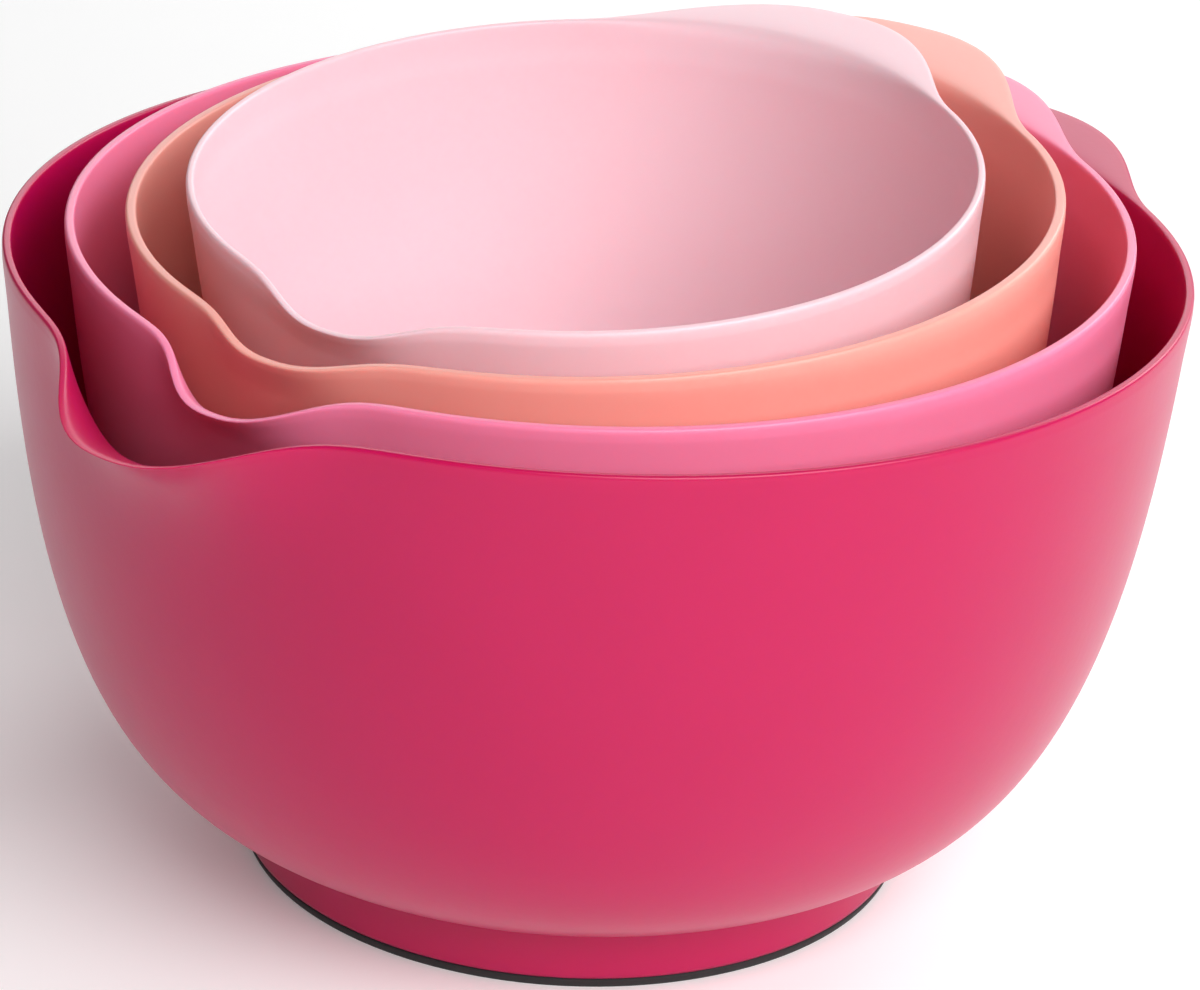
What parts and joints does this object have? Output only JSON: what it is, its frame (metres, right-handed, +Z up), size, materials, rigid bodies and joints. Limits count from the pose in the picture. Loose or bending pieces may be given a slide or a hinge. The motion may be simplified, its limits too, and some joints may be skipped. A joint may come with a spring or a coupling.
{
  "type": "nesting mixing bowl set",
  "caption": "Nest of mixing bowls with pouring spouts, flat handle flanges and rubber foot rings, stacked one inside another; each inner bowl lifts out.",
  "frame": {"origin": "centre of the largest bowl's foot ring, in the plane it stands on", "axes": "+Z up, -Y towards the pouring spouts, +Y towards the handles, +X to the right as seen from the spouts"},
  "size_m": [0.25, 0.2895, 0.1665],
  "materials": {
    "raspberry_melamine": "satin",
    "pink_melamine": "satin",
    "salmon_melamine": "satin",
    "blush_melamine": "satin",
    "black_rubber": "matte"
  },
  "bodies": {
    "largest_bowl": {"largest_bowl": "raspberry_melamine", "largest_bowl_foot_ring": "black_rubber"},
    "large_bowl": {"large_bowl": "pink_melamine", "large_bowl_foot_ring": "black_rubber"},
    "medium_bowl": {"medium_bowl": "salmon_melamine", "medium_bowl_foot_ring": "black_rubber"},
    "small_bowl": {"small_bowl": "blush_melamine", "small_bowl_foot_ring": "black_rubber"}
  },
  "joints": [
    {"name": "large_bowl_lift", "type": "slide", "parent": "largest_bowl", "child": "large_bowl", "axis": [0, 0, 1], "range_m": [0, 0.16]},
    {"name": "medium_bowl_lift", "type": "slide", "parent": "large_bowl", "child": "medium_bowl", "axis": [0, 0, 1], "range_m": [0, 0.15]},
    {"name": "small_bowl_lift", "type": "slide", "parent": "medium_bowl", "child": "small_bowl", "axis": [0, 0, 1], "range_m": [0, 0.14]}
  ]
}
